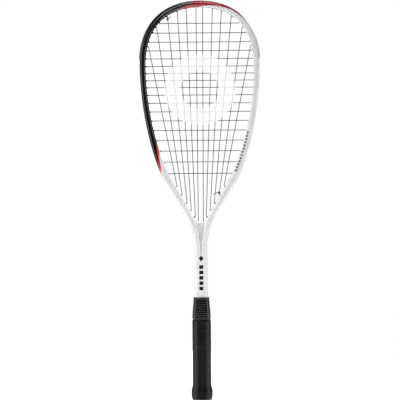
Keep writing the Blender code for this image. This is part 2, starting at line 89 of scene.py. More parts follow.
STRING_R = 0.62
MAIN_SWAY = 0.42               # mains and crosses bend round each other by these amounts
CROSS_SWAY = 0.88
LOOP_SHIFT = 1.55              # string in the channel: how far to one side, and how deep
LOOP_DEPTH = -0.98
STRING_SAMPLES = 8             # points between neighbouring crossings
STRING_JOIN = 0.6              # gap between the two parts of the string
# Knots: (name, main, side, height, tail)
KNOTS = [("knot_mains", 4, 1, 355.5, (-9.5, -3, -4.5)), ("knot_crosses", 3, -1, 655, (4, -1, 1.6))]
TAIL_CURL = -1.6
KNOT_CLEAR = 0.25
KNOT_SIDES = 14                # points on one turn of a knot
KNOT_PITCH = 1.55
DIAMOND_AT = 243.0             # height of the mark above the bars on the shaft
INK_CENTRE = 533.0             # white ring of ink on the strings
INK_RING = (34.0, 62.0)
# Holes of the mains, right half from the middle outwards, each (x, z)
MAIN_TOPS = [(5.8, 675.5), (22.9, 672.6), (38.5, 668), (55.7, 659), (75.1, 641), (89.5, 608)]
MAIN_BOTTOMS = [(4.3, 306), (11, 314), (17.8, 325.5), (25, 337.5), (33.3, 351.5), (42, 366.5)]
MAIN_PAIRS = len(MAIN_TOPS)
CROSS_TOP = 648.5
CROSS_COUNT = 18
CROSS_GAP = 12.2
CROSS_GAP_ABOVE = 0.94         # each gap towards the crown is wider by this much
CROSS_GAP_BELOW = 0.86         # and each gap towards the throat by this much

# Handle sections: (z, half width in X, half depth in Y)
GRIP = [(2.4, 16.9, 14.5), (3.4, 17.5, 15.1), (5.5, 18.0, 15.5), (10, 18.4, 15.7), (15, 18.5, 15.78),
        (19, 17.7, 15.2), (23, 16.5, 14.1), (28, 15.95, 13.5), (136, 15.95, 13.5), (138.6, 14.2, 12.4),
        (157, 13.4, 11.7)]
GRIP_INSIDE = 1.35             # thickness of the wound tape
CORNER_CUT = 0.51              # share of the half width that each corner loses
CORNER_POWER = 14.0            # sharpness of the octagon's edges
INSIDE_TAG = (0.02, 0.6)       # turn and seam of the tape's inner face, clear of its holes
TAPE_PITCH = 13.6
TAPE_SEAM = 0.45               # step where one turn of the tape lies on the last
CAP = [(0.0, 14.9, 12.6), (0.35, 15.6, 13.3), (1.2, 16.2, 13.9), (2.4, 16.3, 13.9), (3, 16.0, 13.6),
       (6, 16.6, 14.2), (15, 17.0, 14.6), (22, 15.0, 12.7)]
CAP_INSIDE = [(22, 14.3, 12.0), (4, 14.3, 12.0)]
BADGE = [(0.55, 5.6, 4.6), (0.5, 6.2, 5.2), (0.32, 6.6, 5.6), (0.3, 7.9, 6.8), (0.42, 8.35, 7.15),
         (0.8, 8.4, 7.2)]
BADGE_SEAT = (8.8, 7.6, 1.1)   # half width, half depth and depth of the seat in the cap
HOLES_ACROSS_TAPE = 7.0
HOLES_IN_A_TURN = 30.0
COLLAR = [(138.8, 15.6, 13.9), (139.6, 15.9, 14.2), (150, 15.5, 14.0), (160, 14.6, 13.3), (170, 13.7, 12.5),
          (174.6, 13.35, 12.15), (176, 13.1, 11.9)]
COLLAR_INSIDE = [(176, 12.6, 11.3), (168, 12.8, 11.5), (160, 13.9, 12.6), (150, 14.9, 13.4),
                 (138.8, 15.0, 13.45)]
COLLAR_POWER = 2.8             # squareness of a section: 2 is an oval
COLLAR_INSIDE_POWER = 3.3      # squarer than the outside, to clear the band under it
RIB_PITCH = 3.9
RIB_HEIGHT = 0.42
RIBS = (140.5, 172.5)
ROLL_AT = 174.6                # rolled top edge of the collar
ROLL_HEIGHT = 0.28

# Stage, in metres. Lamps: (name, place, aim, size, watts)
FLOOR_RADIUS = 0.8
FLOOR_DROP = 0.0002
ROOM_GLOW = 0.07               # light of the room round the racket, beside its lamps
LAMPS = [("left", (-1.5, -0.3, 0.5), (0, 0, 0.36), (0.8, 1.5), 12),
         ("right", (1.5, -0.4, 0.5), (0, 0, 0.36), (0.8, 1.5), 10.5),
         ("front", (-0.9, -2.3, 2.3), (0, 0, 0.36), (1.2, 1.2), 29),
         ("top", (0, 0.25, 2.2), (0, 0.2, 0), (1.0, 1.0), 70),
         ("back", (0.4, 2.4, 1.3), (0, 0, 0.4), (1.6, 1.6), 26)]
LENS = 130
SENSOR = 36
VIEW_WIDTH = 0.688             # width and height that the camera takes in
CAMERA_X = -0.0012
CAMERA_HEIGHT = 0.3433
CAMERA_ROLL = 0.43             # degrees


# ---------------------------------------------------------------- outlines

def lerp(a, b, share):
    """The value a share of the way from a to b."""
    return a + (b - a) * share


def clamp(value):
    """The value kept between 0 and 1."""
    return max(0.0, min(1.0, value))


def bell(value, centre, width):
    """1 at a centre, falling smoothly to 0 on both sides."""
    return math.exp(-((value - centre) / width) ** 2)


def half_outline(knots):
    """Points (x, z) down the right side, from the top of the head."""
    points = []
    for (start, _, leave), (end, arrive, _) in zip(knots, knots[1:]):
        corners = [Vector(place) for place in (start, leave, arrive, end)]
        points += interpolate_bezier(*corners, CURVE_STEPS)[:-1]
    return points + [Vector(knots[-1][0])]


def running_lengths(outline):
    """Distance along an outline to each of its points."""
    runs = [0.0]
    for first, second in zip(outline, outline[1:]):
        runs.append(runs[-1] + (second - first).length)
    return runs


OUTER = half_outline(OUTER_KNOTS)
INNER = half_outline(INNER_KNOTS)
RUNS = running_lengths(OUTER)


def corner_normal(index):
    """Outward normal at a corner of the outer outline."""
    if index == 0:
        return Vector((0, 1))
    side = OUTER[min(index + 1, len(OUTER) - 1)] - OUTER[index - 1]
    return Vector((-side.y, side.x)).normalized()


def place_along(run, outward, y):
    """3D place at a distance along the outer outline, right side positive, moved out along its normal."""
    side = 1 if run >= 0 else -1
    run = abs(run)
    index = max(0, min(len(RUNS) - 2, sum(1 for r in RUNS if r <= run) - 1))
    share = (run - RUNS[index]) / (RUNS[index + 1] - RUNS[index])
    normal = corner_normal(index).lerp(corner_normal(index + 1), share).normalized()
    place = OUTER[index].lerp(OUTER[index + 1], share) + normal * outward
    return Vector((side * place.x, y, place.y))


def point_at_height(outline, z):
    """The first point of a right-hand outline at height z."""
    for a, b in zip(outline, outline[1:]):
        if a.y >= z >= b.y:
            return a.lerp(b, (a.y - z) / max(a.y - b.y, 1e-9))
    return outline[-1]


def nearest_run(point, outline):
    """(distance along, place) of an outline's place nearest to a point."""
    best = None
    run = 0.0
    for a, b in zip(outline, outline[1:]):
        side = b - a
        share = min(1.0, max(0.0, (point - a).dot(side) / side.length_squared))
        gap = (point - a - side * share).length
        if best is None or gap < best[0]:
            best = (gap, run + side.length * share, a + side * share)
        run += side.length
    return best[1:]


def run_to_height(z):
    """Distance along the outer outline from the top of the head to a height on its side."""
    return nearest_run(point_at_height(OUTER[PAST_TOP:], z), OUTER)[0]


def stations(start, end):
    """Distances of the outline's corners between two distances, with both ends."""
    both = sorted([-run for run in RUNS[1:]] + RUNS)
    return [start] + [run for run in both if start + 0.5 < run < end - 0.5] + [end]


# ---------------------------------------------------------------- mesh tools

def extrude_ring(form, ring, places):
    """Extrude a ring of vertices one step and put the new ring in its places."""
    own = set(ring)
    near = dict.fromkeys(edge for vert in ring for edge in vert.link_edges)
    edges = [edge for edge in near if set(edge.verts) <= own and len(edge.link_faces) < 2]
    fresh = {item for item in bmesh.ops.extrude_edge_only(form, edges=edges)["geom"]
             if isinstance(item, bmesh.types.BMVert)}
    after = [next(e.other_vert(v) for e in v.link_edges if e.other_vert(v) in fresh) for v in ring]
    for vert, place in zip(after, places):
        vert.co = place * MM
    return after


def skin(rings, values=None, layers=(), cap_start=False, cap_end=False):
    """A bmesh skin over closed rings of points; values gives each point's numbers for the named layers."""
    form = bmesh.new()
    for name in layers:
        form.verts.layers.float.new(name)
    ring = [form.verts.new(place * MM) for place in rings[0]]
    for a, b in zip(ring, ring[1:] + ring[:1]):
        form.edges.new((a, b))
    all_rings = [ring]
    for places in rings[1:]:
        all_rings.append(extrude_ring(form, all_rings[-1], places))
    for place, name in enumerate(layers):
        layer = form.verts.layers.float[name]
        for row, verts in enumerate(all_rings):
            for column, vert in enumerate(verts):
                vert[layer] = values[row][column][place]
    if cap_start:
        form.faces.new(list(reversed(all_rings[0])))
    if cap_end:
        form.faces.new(all_rings[-1])
    return form


def finish_piece(form, name, material, body="racket", replaces=(), smooth_angle=35, levels=0):
    """Turn a bmesh into a finished piece that rides on a body."""
    bmesh.ops.recalc_face_normals(form, faces=form.faces)
    mesh = bpy.data.meshes.new(name)
    form.to_mesh(mesh)
    form.free()
    item = bpy.data.objects.new(name, mesh)
    bpy.context.scene.collection.objects.link(item)
    mesh.materials.append(material)
    mesh.shade_smooth()
    mesh.set_sharp_from_angle(angle=math.radians(smooth_angle))
    if levels:
        smooth = item.modifiers.new("round", "SUBSURF")
        smooth.levels = levels
        smooth.render_levels = levels
    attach(item, body)
    if replaces:
        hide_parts(*replaces)
    return item


def close_open_edges(form):
    """Join the two open ends of a skin to each other."""
    open_edges = [edge for edge in form.edges if len(edge.link_faces) == 1]
    bmesh.ops.bridge_loops(form, edges=open_edges)


def join_forms(forms):
    """Put several bmeshes together as loose shells of one."""
    whole = bmesh.new()
    for form in forms:
        mesh = bpy.data.meshes.new("part")
        bmesh.ops.recalc_face_normals(form, faces=form.faces)
        form.to_mesh(mesh)
        form.free()
        whole.from_mesh(mesh)
        bpy.data.meshes.remove(mesh)
    return whole


# ---------------------------------------------------------------- materials

WHITE = (0.84, 0.84, 0.846)
BLACK = (0.0025, 0.0025, 0.003)
RED = (0.42, 0.006, 0.012)
ORANGE = (0.72, 0.06, 0.03)
MARK_BLACK = (0.012, 0.012, 0.013)
DUST = (0.62, 0.61, 0.6)


def new_material(name, roughness=0.4, coat=0.0, specular=0.5):
    """An empty material, its node tree and its Principled shader."""
    material = bpy.data.materials.new(name)
    material.use_nodes = True
    tree = material.node_tree
    shader = tree.nodes["Principled BSDF"]
    shader.inputs["Roughness"].default_value = roughness
    shader.inputs["Coat Weight"].default_value = coat
    shader.inputs["Coat Roughness"].default_value = 0.08
    shader.inputs["Specular IOR Level"].default_value = specular
    return material, tree, shader


def node(tree, kind, inputs=(), **settings):
    """Add a node, set its properties and feed its inputs with numbers, colours or sockets."""
    made = tree.nodes.new(kind)
    for key, value in settings.items():
        setattr(made, key, value)
    for key, value in dict(inputs).items():
        socket = made.inputs[key]
        if isinstance(value, bpy.types.NodeSocket):
            tree.links.new(value, socket)
        else:
            socket.default_value = value
    return made


def math_node(tree, operation, a, b=0.0, c=0.0, clamp=False):
    """The value of a Math node."""
    made = node(tree, "ShaderNodeMath", {0: a, 1: b, 2: c}, operation=operation, use_clamp=clamp)
    return made.outputs[0]


def step_up(tree, value, edge, soft):
    """0 below an edge, 1 above it, with a soft crossing."""
    span = {"Value": value, "From Min": edge - soft, "From Max": edge + soft}
    made = node(tree, "ShaderNodeMapRange", span, interpolation_type="SMOOTHSTEP")
    return made.outputs["Result"]


def inside_band(tree, value, low, high, soft):
    """1 between two edges and 0 outside them."""
    below_high = math_node(tree, "SUBTRACT", 1.0, step_up(tree, value, high, soft))
    return math_node(tree, "MULTIPLY", step_up(tree, value, low, soft), below_high)


def distance_node(tree, across, up):
    """Length of a flat vector from its two parts."""
    squares = [math_node(tree, "POWER", part, 2.0) for part in (across, up)]
    return math_node(tree, "SQRT", math_node(tree, "ADD", *squares))


def object_place(tree):
    """Object coordinates in metres."""
    return node(tree, "ShaderNodeTexCoord").outputs["Object"]


def object_axes(tree):
    """Object coordinates as three numbers in millimetres."""
    parts = node(tree, "ShaderNodeSeparateXYZ", {0: object_place(tree)}).outputs
    return [math_node(tree, "MULTIPLY", parts[axis], 1 / MM) for axis in "XYZ"]


def attribute(tree, name):
    """A number that the surface carries."""
    return node(tree, "ShaderNodeAttribute", attribute_name=name).outputs["Fac"]


def mix_colour(tree, factor, a, b):
    """The colour of a Mix node; a and b are colours or sockets."""
    made = node(tree, "ShaderNodeMix", data_type="RGBA")
    for key, value in ((0, factor), (6, a), (7, b)):
        if isinstance(value, bpy.types.NodeSocket):
            tree.links.new(value, made.inputs[key])
        elif key == 0:
            made.inputs[key].default_value = value
        else:
            made.inputs[key].default_value = (*value, 1)
    return made.outputs[2]


def surface_wear_group():
    """Fine grain, faint handling marks and dust, as a height, a roughness and a colour."""
    group = bpy.data.node_groups.new("surface_wear", "ShaderNodeTree")
    for name, kind in (("Grain Size", "NodeSocketFloat"), ("Grain Depth", "NodeSocketFloat"),
                       ("Roughness", "NodeSocketFloat"), ("Roughness Change", "NodeSocketFloat"),
                       ("Colour", "NodeSocketColor"), ("Dust", "NodeSocketFloat")):
        group.interface.new_socket(name, in_out="INPUT", socket_type=kind)
    for name, kind in (("Height", "NodeSocketFloat"), ("Roughness", "NodeSocketFloat"),
                       ("Colour", "NodeSocketColor")):
        group.interface.new_socket(name, in_out="OUTPUT", socket_type=kind)
    source = group.nodes.new("NodeGroupInput")
    target = group.nodes.new("NodeGroupOutput")
    place = object_place(group)
    fine = {"Vector": place, "Scale": source.outputs["Grain Size"], "Detail": 3.0}
    grain = node(group, "ShaderNodeTexNoise", fine)
    broad = {"Vector": place, "Scale": 38.0, "Detail": 6.0, "Distortion": 1.2}
    marks = node(group, "ShaderNodeTexNoise", broad)
    rubbed = step_up(group, marks.outputs["Fac"], 0.56, 0.12)
    height = math_node(group, "MULTIPLY", grain.outputs["Fac"], source.outputs["Grain Depth"])
    change = math_node(group, "MULTIPLY", rubbed, source.outputs["Roughness Change"])
    rough = math_node(group, "ADD", source.outputs["Roughness"], change, clamp=True)
    dust = math_node(group, "MULTIPLY", rubbed, source.outputs["Dust"])
    colour = mix_colour(group, dust, source.outputs["Colour"], DUST)
    group.links.new(height, target.inputs["Height"])
    group.links.new(rough, target.inputs["Roughness"])
    group.links.new(colour, target.inputs["Colour"])
    return group


WEAR = surface_wear_group()


def wear(tree, shader, colour, roughness, change, grain_size, grain_depth, dust, bump=0.25, relief=None):
    """Place the wear group in a material and feed the shader's colour, roughness and normal."""
    made = node(tree, "ShaderNodeGroup", node_tree=WEAR)
    values = {"Grain Size": grain_size, "Grain Depth": grain_depth, "Roughness": roughness,
              "Roughness Change": change, "Dust": dust}
    for key, value in values.items():
        made.inputs[key].default_value = value
    if isinstance(colour, bpy.types.NodeSocket):
        tree.links.new(colour, made.inputs["Colour"])
    else:
        made.inputs["Colour"].default_value = (*colour, 1)
    tree.links.new(made.outputs["Colour"], shader.inputs["Base Color"])
    tree.links.new(made.outputs["Roughness"], shader.inputs["Roughness"])
    height = made.outputs["Height"]
    if relief is not None:
        height = math_node(tree, "ADD", height, relief)
    raised = node(tree, "ShaderNodeBump", {"Height": height, "Distance": MM, "Strength": bump})
    tree.links.new(raised.outputs["Normal"], shader.inputs["Normal"])


def signed_run(tree):
    """Distance along the hoop from the top of the head, negative on the left, in millimetres."""
    x = object_axes(tree)[0]
    return math_node(tree, "MULTIPLY", attribute(tree, "along"), math_node(tree, "SIGN", x))


def band_edge(tree, run, across, at_outer, at_inner, soft):
    """1 past a slanted paint edge that crosses the hoop from one distance to another."""
    slope = math_node(tree, "MULTIPLY_ADD", across, at_inner - at_outer, at_outer)
    return step_up(tree, math_node(tree, "SUBTRACT", run, slope), 0.0, soft)


def bars_mask(tree, position, first, pitch, count, length, cross, lane, slant=0.0):
    """A row of plain bars along a surface: repeated along position, within a lane across it."""
    shifted = math_node(tree, "MULTIPLY_ADD", cross, slant, position)
    local = math_node(tree, "SUBTRACT", shifted, first)
    row = inside_band(tree, local, 0.0, pitch * count, 0.15)
    phase = math_node(tree, "MODULO", math_node(tree, "ABSOLUTE", local), pitch)
    bar = math_node(tree, "SUBTRACT", 1.0, step_up(tree, phase, length, 0.15))
    within = inside_band(tree, cross, *lane, 0.12)
    return math_node(tree, "MULTIPLY", math_node(tree, "MULTIPLY", row, bar), within)


def paint_bands(tree, run, across):
    """Paint round the hoop from the lower left: white, orange, red, black, red, then white down the right."""
    bands = (  # height at the outer edge, height at the inner edge, softness, colour
        (384, 428, 1.2, ORANGE), (391, 440, 5, RED), (395, 444, 1.2, BLACK))
    colour = WHITE
    for outer_z, inner_z, soft, paint in bands:
        edge = band_edge(tree, run, across, -run_to_height(outer_z), -run_to_height(inner_z), soft)
        colour = mix_colour(tree, edge, colour, paint)
    colour = mix_colour(tree, band_edge(tree, run, across, at_outer=10, at_inner=-42, soft=2.0), colour, RED)
    lean = math_node(tree, "POWER", math_node(tree, "MAXIMUM", across, 0.0), 0.72)
    return mix_colour(tree, band_edge(tree, run, lean, at_outer=90, at_inner=0, soft=1.5), colour, WHITE)


def painted_marks(tree, run, across):
    """Plain marks: slanted bars low on the right of the hoop, bars and a diamond on the shaft."""
    x, y, z = object_axes(tree)
    front = math_node(tree, "LESS_THAN", y, 0.0)
    hoop_bars = bars_mask(tree, run, first=run_to_height(461), pitch=5.8, count=13, length=3.5,
                          cross=across, lane=(0.6, 0.84), slant=-4.0)
    hoop_bars = math_node(tree, "MULTIPLY", hoop_bars, front)
    shaft_bars = bars_mask(tree, z, first=188.5, pitch=9.2, count=5, length=6.2, cross=x, lane=(-3.4, 3.4))
    above = math_node(tree, "ABSOLUTE", math_node(tree, "SUBTRACT", z, DIAMOND_AT))
    from_middle = math_node(tree, "MULTIPLY_ADD", above, 0.8, math_node(tree, "ABSOLUTE", x))
    diamond = math_node(tree, "SUBTRACT", 1.0, step_up(tree, from_middle, 4.2, 0.2))
    return math_node(tree, "MAXIMUM", hoop_bars, math_node(tree, "MAXIMUM", shaft_bars, diamond))


def frame_lacquer():
    """White gloss lacquer, black down the left side, red flashes at both ends of the black, plain marks."""
    material, tree, shader = new_material("frame_lacquer", coat=0.6)
    run = signed_run(tree)
    across = attribute(tree, "across")
    colour = mix_colour(tree, painted_marks(tree, run, across), paint_bands(tree, run, across), MARK_BLACK)
    wear(tree, shader, colour, roughness=0.22, change=0.1,
         grain_size=900.0, grain_depth=0.003, dust=0.002, bump=0.12)
    return material


def web_lacquer():
    """Light grey satin lacquer of the bridge."""
    material, tree, shader = new_material("bridge_lacquer", coat=0.3)
    wear(tree, shader, (0.83, 0.83, 0.832), roughness=0.32, change=0.12,
         grain_size=700.0, grain_depth=0.02, dust=0.03)
    return material


def clear_nylon():
    """Smoky clear bumper plastic: it takes the tone of the paint under it, round the crown from the left."""
    material, tree, shader = new_material("bumper_nylon", specular=0.07)
    run = signed_run(tree)
    colour = (0.1, 0.1, 0.104)
    tones = (  # distance from the top of the head, softness, colour past it
        (-118.0, 30.0, (0.006, 0.006, 0.0066)), (-12.0, 18.0, (0.16, 0.006, 0.01)),
        (84.0, 16.0, (0.6, 0.6, 0.61)))
    for place, soft, tone in tones:
        colour = mix_colour(tree, step_up(tree, run, place, soft), colour, tone)
    wear(tree, shader, colour, roughness=0.42, change=0.2,
         grain_size=520.0, grain_depth=0.03, dust=0.006)
    return material


def grommet_nylon():
    """Nylon of the strips: black on the left side of the head, milky on the right, dark grey on the legs."""
    material, tree, shader = new_material("grommet_nylon")
    x, _, z = object_axes(tree)
    head = mix_colour(tree, step_up(tree, x, -30, 20), (0.01, 0.01, 0.011), (0.55, 0.55, 0.555))
    colour = mix_colour(tree, step_up(tree, z, LEG_NYLON_TOP, 1), (0.06, 0.06, 0.062), head)
    wear(tree, shader, colour, roughness=0.4, change=0.18,
         grain_size=600.0, grain_depth=0.04, dust=0.05)
    return material


def string_nylon():
    """Black braided string with a plain ring of white ink in the middle of the bed."""
    material, tree, shader = new_material("string_nylon", specular=0.25)
    place = object_place(tree)
    x, _, z = object_axes(tree)
    reach = distance_node(tree, x, math_node(tree, "SUBTRACT", z, INK_CENTRE))
    patchy = node(tree, "ShaderNodeTexNoise", {"Vector": place, "Scale": 900.0, "Detail": 2.0}).outputs["Fac"]
    ragged = math_node(tree, "MULTIPLY_ADD", patchy, 1.6, reach)
    ring = inside_band(tree, ragged, *INK_RING, 0.4)
    ink = math_node(tree, "MULTIPLY", ring, step_up(tree, patchy, 0.2, 0.1))
    colour = mix_colour(tree, ink, (0.008, 0.008, 0.009), (0.8, 0.8, 0.8))
    braid = node(tree, "ShaderNodeTexWave", {"Vector": place, "Scale": 420.0, "Distortion": 0.6},
                 wave_type="BANDS", bands_direction="DIAGONAL").outputs["Fac"]
    wear(tree, shader, colour, roughness=0.38, change=0.2,
         grain_size=1500.0, grain_depth=0.03, dust=0.0, relief=math_node(tree, "MULTIPLY", braid, 0.06))
    return material


def grip_leather():
    """Matt black perforated synthetic leather, with painted highlights in speckled patches on its corner
    facets.
    """
    material, tree, shader = new_material("grip_leather", coat=0.2, specular=0.06)
    shader.inputs["Coat Roughness"].default_value = 0.34
    turn = attribute(tree, "turn")
    offsets = []
    for position, count in ((attribute(tree, "seam"), HOLES_ACROSS_TAPE), (turn, HOLES_IN_A_TURN)):
        cell = math_node(tree, "FRACT", math_node(tree, "MULTIPLY", position, count))
        offsets.append(math_node(tree, "ABSOLUTE", math_node(tree, "SUBTRACT", cell, 0.5)))
    hole = math_node(tree, "SUBTRACT", 1.0, step_up(tree, distance_node(tree, *offsets), 0.17, 0.06))
    place = object_place(tree)
    grain = node(tree, "ShaderNodeTexVoronoi", {"Vector": place, "Scale": 900.0}).outputs["Distance"]
    relief = math_node(tree, "MULTIPLY_ADD", grain, 0.12, math_node(tree, "MULTIPLY", hole, -0.9))
    # Painted highlight: a lighter leather colour in speckled patches on the four corner facets, where the
    # side lamps would glint.
    facet = math_node(tree, "COSINE", math_node(tree, "MULTIPLY", turn, 4 * math.tau))
    mottle = node(tree, "ShaderNodeTexNoise", {"Vector": place, "Scale": 320.0, "Detail": 4.0}).outputs["Fac"]
    facet_highlight_level = math_node(tree, "MULTIPLY_ADD", mottle, 1.4, math_node(tree, "MULTIPLY_ADD", facet, -0.6, -0.45))
    painted_facet_highlight = step_up(tree, facet_highlight_level, 0.7, 0.45)
    leather = mix_colour(tree, painted_facet_highlight, (0.0032, 0.0026, 0.0023), (0.034, 0.031, 0.028))
    # Painted shade: the perforations are coloured darker than the leather around them.
    colour = mix_colour(tree, hole, leather, (0.001, 0.0009, 0.0008))
    wear(tree, shader, colour, roughness=0.5, change=0.14,
         grain_size=420.0, grain_depth=0.16, dust=0.004, bump=0.8, relief=relief)
    return material


def collar_rubber():
    """Black semi gloss rubber."""
    material, tree, shader = new_material("collar_rubber", coat=0.25, specular=0.3)
    wear(tree, shader, (0.0025, 0.0025, 0.003), roughness=0.17, change=0.12,
         grain_size=800.0, grain_depth=0.02, dust=0.002)
    return material


def simple_finish(name, colour, roughness, grain_size, grain_depth, dust=0.05, metallic=0.0):
    """A plain moulded, taped or metal finish with grain and handling marks."""
    material, tree, shader = new_material(name)
    shader.inputs["Metallic"].default_value = metallic
    wear(tree, shader, colour, roughness=roughness, change=0.15,
         grain_size=grain_size, grain_depth=grain_depth, dust=dust)
    return material


# ---------------------------------------------------------------- frame

def inner_point(outer):
    """The place on the inner wall across from a place on the outer outline; below the fork it is the seam."""
    if outer.y < LEGS_JOINED:
        return Vector((0, outer.y))
    if outer.y >= LEGS_MEET or outer.x > LEGS_APART:
        return nearest_run(outer, INNER)[1]
    share = clamp((LEGS_MEET - outer.y) / (LEGS_MEET - LEGS_JOINED))
    start = nearest_run(point_at_height(OUTER[CURVE_STEPS:], LEGS_MEET), INNER)[1]
    z = outer.y + (start.y - LEGS_MEET) * (1 - share)
    return Vector((max(0.0, start.x * (z - WEB_LOW) / (start.y - WEB_LOW)), z))


def frame_section(width, channel, bevel):
    """Section points (inward from the outer edge, y): channel, flat faces and bevels, front then back."""
    depth = HALF_DEPTH
    floor = CHANNEL_DEPTH * channel
    half = [(floor, 0), (floor, CHANNEL_HALF - 0.05), (0.05, CHANNEL_HALF), (0, CHANNEL_HALF + 0.5),
            (0, 4.9), (0.4, 6.1), (2.2, depth - 0.75), (3.5, depth)]
    half += [(width - 3.4 * bevel - 0.01, depth), (width - 2.1 * bevel, depth - 0.7 * bevel),
             (width - 0.4 * bevel, depth - 3.4 * bevel), (width, depth - 4.6 * bevel),
             (width, (depth - 4.6 * bevel) * 0.5), (width, 0)]
    front = [(a, -y) for a, y in half]
    return front + list(reversed(half[1:-1]))


def hoop_and_shaft(material):
    """Right half of the frame as one skin, mirrored into the whole."""
    rings = []
    tags = []
    stops = OUTER + [Vector((OUTER[-1].x, z)) for z in (120, 60, SHAFT_END)]
    for outer, run in zip(stops, running_lengths(stops)):
        inner = inner_point(outer)
        inward = inner - outer
        width = inward.length
        inward.normalize()
        channel = clamp((outer.y - CHANNEL_END) / CHANNEL_FADE + 1)
        bevel = 1.0
        if outer.y < LEGS_JOINED:
            bevel = max(clamp((outer.y - SEAM_GONE) / (LEGS_JOINED - SEAM_GONE)), 0.01)
        section = frame_section(width, channel, bevel)
        rings.append([Vector((outer.x + inward.x * a, y, outer.y + inward.y * a)) for a, y in section])
        tags.append([(run, a / width) for a, y in section])
    form = skin(rings, tags, ("along", "across"), cap_end=True)
    flat = [face for face in form.faces if all(abs(v.co.x) < 1e-6 for v in face.verts)]
    bmesh.ops.delete(form, geom=flat, context="FACES")
    twin = bmesh.ops.duplicate(form, geom=form.verts[:] + form.edges[:] + form.faces[:])["geom"]
    bmesh.ops.scale(form, vec=(-1, 1, 1), verts=[v for v in twin if isinstance(v, bmesh.types.BMVert)])
    bmesh.ops.remove_doubles(form, verts=form.verts, dist=2e-6)
    bmesh.ops.delete(form, geom=[v for v in form.verts if not v.link_faces], context="VERTS")
    return finish_piece(form, "racket_frame", material, replaces=["frame"], levels=1)


def bridge(material):
    """Web between the legs, its top rim rounded and its face dished."""
    form = bmesh.new()
    bmesh.ops.create_cube(form, size=1)
    bmesh.ops.subdivide_edges(form, edges=form.edges, cuts=7, use_grid_fill=True)
    for vert in form.verts:
        share = vert.co.z + 0.5
        z = lerp(WEB_LOW + WEB_BLUNT, WEB_TOP, share)
        reach = WEB_TOP_HALF * (z - WEB_LOW) / (WEB_TOP - WEB_LOW)
        dish = WEB_DISH * (1 - (2 * vert.co.x) ** 2) * (1 - abs(2 * share - 1) ** 3)
        depth = WEB_HALF_DEPTH - dish
        vert.co = Vector((2 * vert.co.x * reach, 2 * vert.co.y * depth, z)) * MM
    return finish_piece(form, "bridge_web", material, replaces=["throat_bridge"],
                        levels=1)


# ---------------------------------------------------------------- bumper and grommets

def swept(profile, start, end, taper=0.0):
    """A skin of an (outward, y) profile along the outer outline; taper thins both of its ends."""
    rings = []
    stops = stations(start, end)
    for run in stops:
        near = min(run - start, end - run)
        scale = 1 - taper * (1 - clamp(near / TAPER_LENGTH)) ** 2
        narrow = 0.75 + 0.25 * scale
        rings.append([place_along(run, n if n < 0 else n * scale, y * narrow) for n, y in profile])
    tags = [[(abs(run), 0.0)] * len(profile) for run in stops]
    return skin(rings, tags, ("along", "across"), cap_start=True, cap_end=True)


def barrel(hole, side):
    """A turned grommet barrel with a flared inner lip, on its hole's axis."""
    run, inner = hole
    outside = place_along(run, STRIP_BASE + 0.4, 0)
    inside = Vector((inner.x, 0, inner.y))
    along = (inside - place_along(run, 0, 0)).normalized()
    end = inside + along * BARREL_PROUD
    length = (end - outside).length
    profile = [(BORE_R, 0), (BARREL_R, 0), (BARREL_R, length - 1.3), (BARREL_R + 0.12, length - 1.0),
               (BARREL_R + 0.05, length - 0.15), (BARREL_R - 0.25, length), (BORE_R, length - 0.1)]
    form = bmesh.new()
    verts = [form.verts.new((r * MM, 0, z * MM)) for r, z in profile]
    edges = [form.edges.new((a, b)) for a, b in zip(verts, verts[1:] + verts[:1])]
    bmesh.ops.spin(form, geom=verts + edges, cent=(0, 0, 0), axis=(0, 0, 1), angle=math.tau, steps=14,
                   use_merge=True, use_duplicate=False)
    bmesh.ops.remove_doubles(form, verts=form.verts, dist=1e-6)
    turn = along.to_track_quat("Z", "Y").to_matrix().to_4x4()
    form.transform(Matrix.Translation(outside * MM) @ turn)
    if side < 0:
        form.transform(Matrix.Diagonal((-1, 1, 1, 1)))
    return form


# Half sections, each (outward from the outline, y)
STRIP_PROFILE = [(STRIP_BASE, 0), (STRIP_BASE, 3.1), (STRIP_BASE + 0.5, 3.2), (STRIP_TOP, 3.0),
                 (STRIP_TOP - 0.05, 1.5), (STRIP_TOP, 0)]
BUMPER_PROFILE = [(STRIP_BASE, 0), (STRIP_BASE, 3.1), (-0.1, 3.2), (0.15, 3.6), (0.15, 5.0), (-0.25, 6.25),
                  (-1.8, 8.5), (-1.25, 8.9), (-0.35, 8.2), (0.85, 6.5), (1.35, 5.3), (1.4, 3.6), (1.1, 2.7),
                  (STRIP_TOP, 2.4), (STRIP_TOP, 0)]


def both_sides(profile):
    """A half profile mirrored across the string plane."""
    return profile + [(n, -y) for n, y in reversed(profile) if y]


def grommets(nylon, clear):
    """Bumper over the crown, side strips and leg strips, each with its barrels."""
    crown = run_to_height(BUMPER_END)
    crown_holes = MAIN_HOLES_TOP + [hole for hole in CROSS_HOLES if hole[0] < crown]
    barrels = [barrel(hole, side) for hole in crown_holes for side in (-1, 1)]
    strip = swept(both_sides(BUMPER_PROFILE), -crown, crown, taper=0.9)
    finish_piece(strip, "bumper_strip", clear, replaces=["bumper_guard"], levels=1)
    finish_piece(join_forms(barrels), "bumper_barrels", nylon)
    for label, side in (("left", -1), ("right", 1)):
        side_holes = [hole for hole in CROSS_HOLES if hole[0] > crown]
        for name, ends, holes in (("grommet_strip_", SIDE_STRIP, side_holes),
                                  ("throat_grommets_", THROAT_STRIP, MAIN_HOLES_BOTTOM[1:])):
            start, end = sorted(side * run_to_height(z) for z in ends)
            forms = [swept(both_sides(STRIP_PROFILE), start, end)] + [barrel(hole, side) for hole in holes]
            finish_piece(join_forms(forms), name + label + "_nylon", nylon, replaces=[name + label])


# ---------------------------------------------------------------- strings

def cross_heights():
    """Heights of the crosses from the top; the gaps widen towards both ends of the head."""
    levels = [CROSS_TOP]
    for i in range(CROSS_COUNT - 1):
        gap = CROSS_GAP + CROSS_GAP_ABOVE * max(0, 5 - i) + CROSS_GAP_BELOW * max(0, i - 7)
        levels.append(levels[-1] - gap)
    return levels


